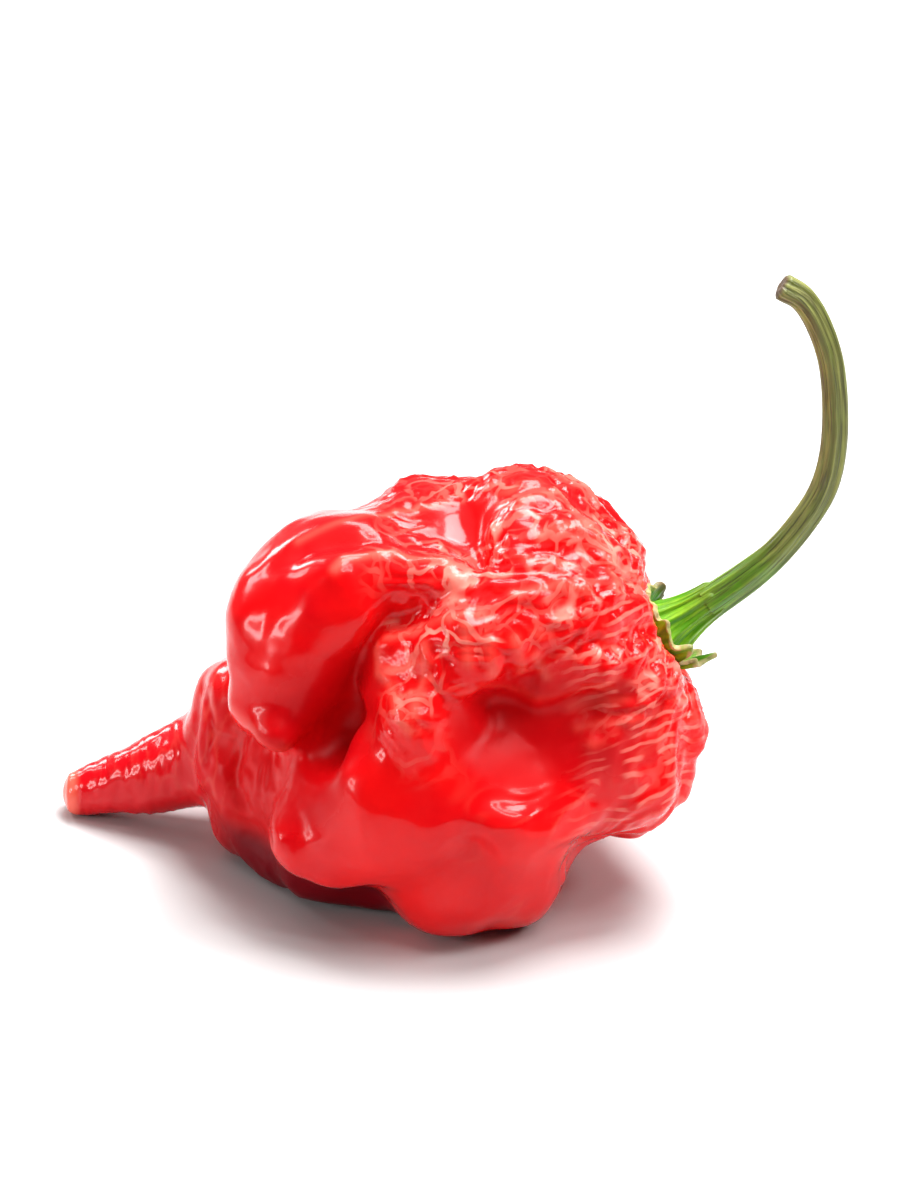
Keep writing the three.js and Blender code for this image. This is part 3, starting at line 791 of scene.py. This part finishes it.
def makeCalyx(pod):
    s = calyxSettings
    skin = BVHTree.FromObject(pod, bpy.context.evaluated_depsgraph_get())

    def skinHeight(out, angle):
        hit = skin.ray_cast(seatPoint(s["rayStart"], out, angle), -seatAxis)[0]
        return (hit - seat).dot(seatAxis) if hit else 0.0

    def lobeSum(angle, what):
        total = 0.0
        for lobe in s["lobes"]:
            away = (math.degrees(angle) - lobe["angle"] + 180) % 360 - 180
            total += lobe[what] * math.exp(-((away / lobe["half"]) ** 2))
        return total

    def funnelPoint(angle, share):
        swell = (s["throat"] - s["neck"]) * min(share / s["throatShare"], 1)
        out = s["neck"] + swell + (s["mouth"] - s["throat"]) * share ** s["flare"]
        along = s["height"] + (s["mouthHeight"] - s["height"]) * share
        return seatPoint(along, out * (ribFactor(s, angle) if share > s["ribStart"] else 1), angle)

    def lobePoint(angle, share):
        crumple, ruffle, frill = s["crumple"], s["ruffle"], s["frill"]
        around = Vector((math.cos(angle), math.sin(angle), 0))
        crumpled = noise.noise(around * crumple["waves"] + Vector((0, 0, crumple["shift"])))
        twist = ruffle["shift"] + ruffle["twist"] * share
        ruffled = noise.noise(around * ruffle["waves"] + Vector((0, 0, twist)))
        reach = s["rim"] + lobeSum(angle, "reach") + crumple["reach"] * crumpled
        mouth = s["mouth"] * ribFactor(s, angle)
        out = mouth + (reach - mouth) * share
        away = (math.degrees(angle) - frill["angle"]) / frill["half"]
        frilled = frill["height"] * math.exp(-away ** 2) * math.cos(frill["waves"] * angle)
        raised = lobeSum(angle, "lift") + frilled + ruffle["height"] * (1 + ruffle["swing"] * ruffled)
        lift = max(share ** s["liftCurve"] * raised, 0)
        floor = skinHeight(out, angle) + s["gap"] + s["wall"]
        step = s["mouthHeight"] * (1 - share) ** s["fallCurve"] - floor
        return seatPoint(floor + lift + max(step, 0) * (1 - share), out, angle)

    def place(aroundShare, alongShare):
        angle = 2 * math.pi * aroundShare
        if alongShare < s["funnelShare"]:
            return funnelPoint(angle, alongShare / s["funnelShare"])
        return lobePoint(angle, (alongShare - s["funnelShare"]) / (1 - s["funnelShare"]))

    calyx = wrapGrid("calyxCup", s["around"], s["along"], place)
    applyModifier(calyx, "SOLIDIFY", thickness=s["wall"], offset=-1)
    applyModifier(calyx, "SUBSURF", levels=1, render_levels=1)
    dress(calyx, "calyx", makeCalyxMaterial())


# Centreline of the stalk from the calyx to the cut end, and its radius at each point.
pedicelSettings = {
    "around": 60,
    "along": 160,
    "ribs": 5,
    "ribShare": 0.075,
    "ribTurn": 0.8,               # how far the ribs wind round on the way up
    "fineRibs": 13,
    "fineRibShare": 0.03,
    "tangentStep": 0.005,
    "capShare": 0.05,             # end of the grid that closes the cut face
    "capSwell": 0.4 * mm,
    "capArc": 2.4,
    "capCurve": 0.6,
    "path": [
        (0.0252, -0.0012, 0.0292), (0.0290, -0.0009, 0.0320), (0.0317, -0.0006, 0.0344),
        (0.0342, -0.0003, 0.0376), (0.0359, 0.0000, 0.0407), (0.0367, 0.0003, 0.0443),
        (0.0368, 0.0007, 0.0487), (0.0363, 0.0010, 0.0531), (0.0351, 0.0012, 0.0567),
        (0.0336, 0.0012, 0.0592), (0.0318, 0.0012, 0.0604),
    ],
    "radii": [1.62, 1.5, 1.34, 1.28, 1.26, 1.2, 1.16, 1.14, 1.16, 1.2, 1.26],    # millimetres
    # Colours: each green is a pair, for the dark and the light streaks.
    "olive": ((0.105, 0.125, 0.014, 1), (0.27, 0.28, 0.065, 1)),
    "fresh": ((0.10, 0.19, 0.013, 1), (0.27, 0.34, 0.07, 1)),
    "rootGreen": ((0.06, 0.24, 0.003, 1), (0.20, 0.42, 0.012, 1)),
    "freshSpan": (0.05, 0.42),
    "rootSpan": (0.06, 0.2),
    "rootShare": 0.85,
    "streak": {"stretch": (16, 3.5, 1), "edge": (0.36, 0.66)},
    "fine": {"stretch": (40, 9, 1), "edge": (0.45, 0.68)},
    "patch": {"size": 2.5 * mm, "edge": (0.35, 0.7)},
    "tints": {
        "patch": {"share": 0.3, "colour": (0.12, 0.085, 0.022, 1)},
        "fine": {"share": 0.7, "colour": (0.035, 0.03, 0.008, 1)},
        "cut": {"share": 1.0, "colour": (0.10, 0.055, 0.022, 1), "span": (0.95, 0.975)},
    },
    "roughness": {"least": 0.4, "streak": 0.2},
    "fineBump": 0.6,
    "patchBump": 0.3,
    "bump": {"strength": 0.5, "distance": 0.15 * mm},
}


def curvePoint(points, share):          # a smooth curve through the points
    step = min(max(share, 0), 1) * (len(points) - 1)
    i = min(int(step), len(points) - 2)
    t = step - i
    a, b = points[i], points[i + 1]
    before = points[i - 1] if i else a * 2 - b
    after = points[i + 2] if i + 2 < len(points) else b * 2 - a
    return 0.5 * (2 * a + (b - before) * t + (2 * before - 5 * a + 4 * b - after) * t * t
                  + (3 * a - before - 3 * b + after) * t ** 3)


def makePedicelMaterial():
    s = pedicelSettings
    tints = s["tints"]
    material, shader, start, coords = newMaterial("pedicelStalk")
    uv = start.node("ShaderNodeTexCoord", out=2)
    along = uv.axis(1)
    streak = uv.grain(1.0, detail=4.0, stretch=s["streak"]["stretch"]).between(*s["streak"]["edge"])
    fine = uv.grain(1.0, detail=3.0, stretch=s["fine"]["stretch"]).between(*s["fine"]["edge"])
    patch = coords.grain(s["patch"]["size"], detail=3.0).between(*s["patch"]["edge"])
    low = 1 - along.between(*s["freshSpan"])
    root = 1 - along.between(*s["rootSpan"])
    green = low.mix(streak.mix(*s["olive"]), streak.mix(*s["fresh"]))
    green = (root * s["rootShare"]).mix(green, streak.mix(*s["rootGreen"]))
    green = tinted(green, patch, tints["patch"])
    green = tinted(green, fine, tints["fine"])
    green = tinted(green, along.between(*tints["cut"]["span"]), tints["cut"])
    feed(shader, "Base Color", green)
    feed(shader, "Roughness", streak * s["roughness"]["streak"] + s["roughness"]["least"])
    bumpInto(shader, streak - fine * s["fineBump"] + patch * s["patchBump"], s["bump"])
    return material


def makePedicel():
    s = pedicelSettings
    points = [Vector(p) for p in s["path"]]
    radii = [Vector((r * mm, 0, 0)) for r in s["radii"]]
    bodyShare = 1 - s["capShare"]
    step = s["tangentStep"]

    def place(aroundShare, alongShare):
        share = min(alongShare / bodyShare, 1)
        angle = 2 * math.pi * aroundShare
        middle = curvePoint(points, share)
        tangent = (curvePoint(points, share + step) - curvePoint(points, share - step)).normalized()
        front = (Vector((0, -1, 0)) + tangent * tangent.y).normalized()
        side = tangent.cross(front)
        radius = curvePoint(radii, share).x * ribFactor(s, angle, s["ribTurn"] * share)
        cap = max(0.0, alongShare - bodyShare) / s["capShare"]
        radius *= max(1 - cap, 0) ** s["capCurve"]
        swell = s["capSwell"] * math.sin(s["capArc"] * cap)
        return middle + tangent * swell + (front * math.cos(angle) + side * math.sin(angle)) * radius

    pedicel = wrapGrid("pedicelStalk", s["around"], s["along"], place)
    dress(pedicel, "pedicel", makePedicelMaterial())


# Table and studio light
studioSettings = {
    "floorSize": 1.3,
    "floor": {"Base Color": (0.57, 0.57, 0.57, 1), "Roughness": 0.55},
    "skyTop": 0.55,               # light from overhead, which fades towards the sides
    "skyBack": 0.12,              # pale backdrop
    "skyLow": 0.07,
    "skySeen": 1.0,               # keeps the far distance white in the picture alone
    "topFade": (0.6, 0.9),        # heights of the fade on a unit sphere
    "backFade": (0.15, 0.55),
    # A lamp with a bar is an open frame of that thickness.
    "lamps": [
        {"name": "topBox", "at": (0.12, 0.08, 0.46), "size": (0.26, 0.24), "power": 4.0},
        {"name": "backBox", "at": (0.02, 0.26, 0.42), "size": (0.26, 0.12), "power": 1.4},
        {"name": "sideBox", "at": (0.40, -0.06, 0.32), "size": (0.12, 0.14), "power": 1.0},
        {"name": "frontBox", "at": (0.177, -0.165, 0.457), "size": (0.13, 0.13), "power": 0.7, "bar": 0.03},
        {"name": "ridgeBox", "at": (-0.47, -0.126, 0.135), "size": (0.15, 0.13), "power": 0.9, "bar": 0.035},
        {"name": "cheekBox", "at": (-0.38, 0.247, 0.23), "size": (0.07, 0.07), "power": 0.2, "bar": 0.02},
        {"name": "tailBox", "at": (-0.27, 0.385, 0.19), "size": (0.10, 0.14), "power": 0.6},
    ],
    "lampAim": (0, 0, 0.02),
}


def makeFloor():
    deselectAll()
    bpy.ops.mesh.primitive_plane_add(size=studioSettings["floorSize"])
    floor = bpy.context.object
    floor.name = "tableTop"
    material, shader, start, coords = newMaterial("paleTable")
    setSockets(shader, studioSettings["floor"])
    floor.data.materials.append(material)


def makeSky():
    s = studioSettings
    world = bpy.data.worlds.new("studioAir")
    scene.world = world
    world.use_nodes = True
    background = world.node_tree.nodes["Background"]
    setSockets(background, {"Color": (1, 1, 1, 1)})
    start = Signal(world.node_tree)
    direction = start.node("ShaderNodeTexCoord", out=3)
    over = direction.axis(2).between(*s["topFade"]) * s["skyTop"]
    behind = direction.axis(1).between(*s["backFade"]) * s["skyBack"]
    seen = start.node("ShaderNodeLightPath", out=0)
    feed(background, "Strength", over + behind + s["skyLow"] + seen * s["skySeen"])


def barsOf(lamp):                       # the lamp's rectangle, or the four bars of an open frame
    wide, tall = lamp["size"]
    bar = lamp.get("bar")
    if not bar:
        return [(0, 0, wide, tall)]
    top, side = (tall - bar) / 2, (wide - bar) / 2
    inner = tall - 2 * bar
    return [(0, top, wide, bar), (0, -top, wide, bar), (side, 0, bar, inner), (-side, 0, bar, inner)]


def makeLamps():
    s = studioSettings
    for lamp in s["lamps"]:
        place = Vector(lamp["at"])
        turn = (place - Vector(s["lampAim"])).to_track_quat("Z", "Y")
        bars = barsOf(lamp)
        area = sum(wide * tall for across, above, wide, tall in bars)
        for across, above, wide, tall in bars:
            spot = place + turn @ Vector((across, above, 0))
            bpy.ops.object.light_add(type="AREA", location=spot, rotation=turn.to_euler())
            light = bpy.context.object
            light.name = lamp["name"]
            light.data.shape = "RECTANGLE"
            light.data.size, light.data.size_y = wide, tall
            light.data.energy = lamp["power"] * wide * tall / area


def makeStudio():
    makeFloor()
    makeSky()
    makeLamps()
    scene.view_settings.view_transform = "Standard"
    print("studio set")


makeCamera()
pod = makePod()
makeCalyx(pod)
makePedicel()
makeStudio()
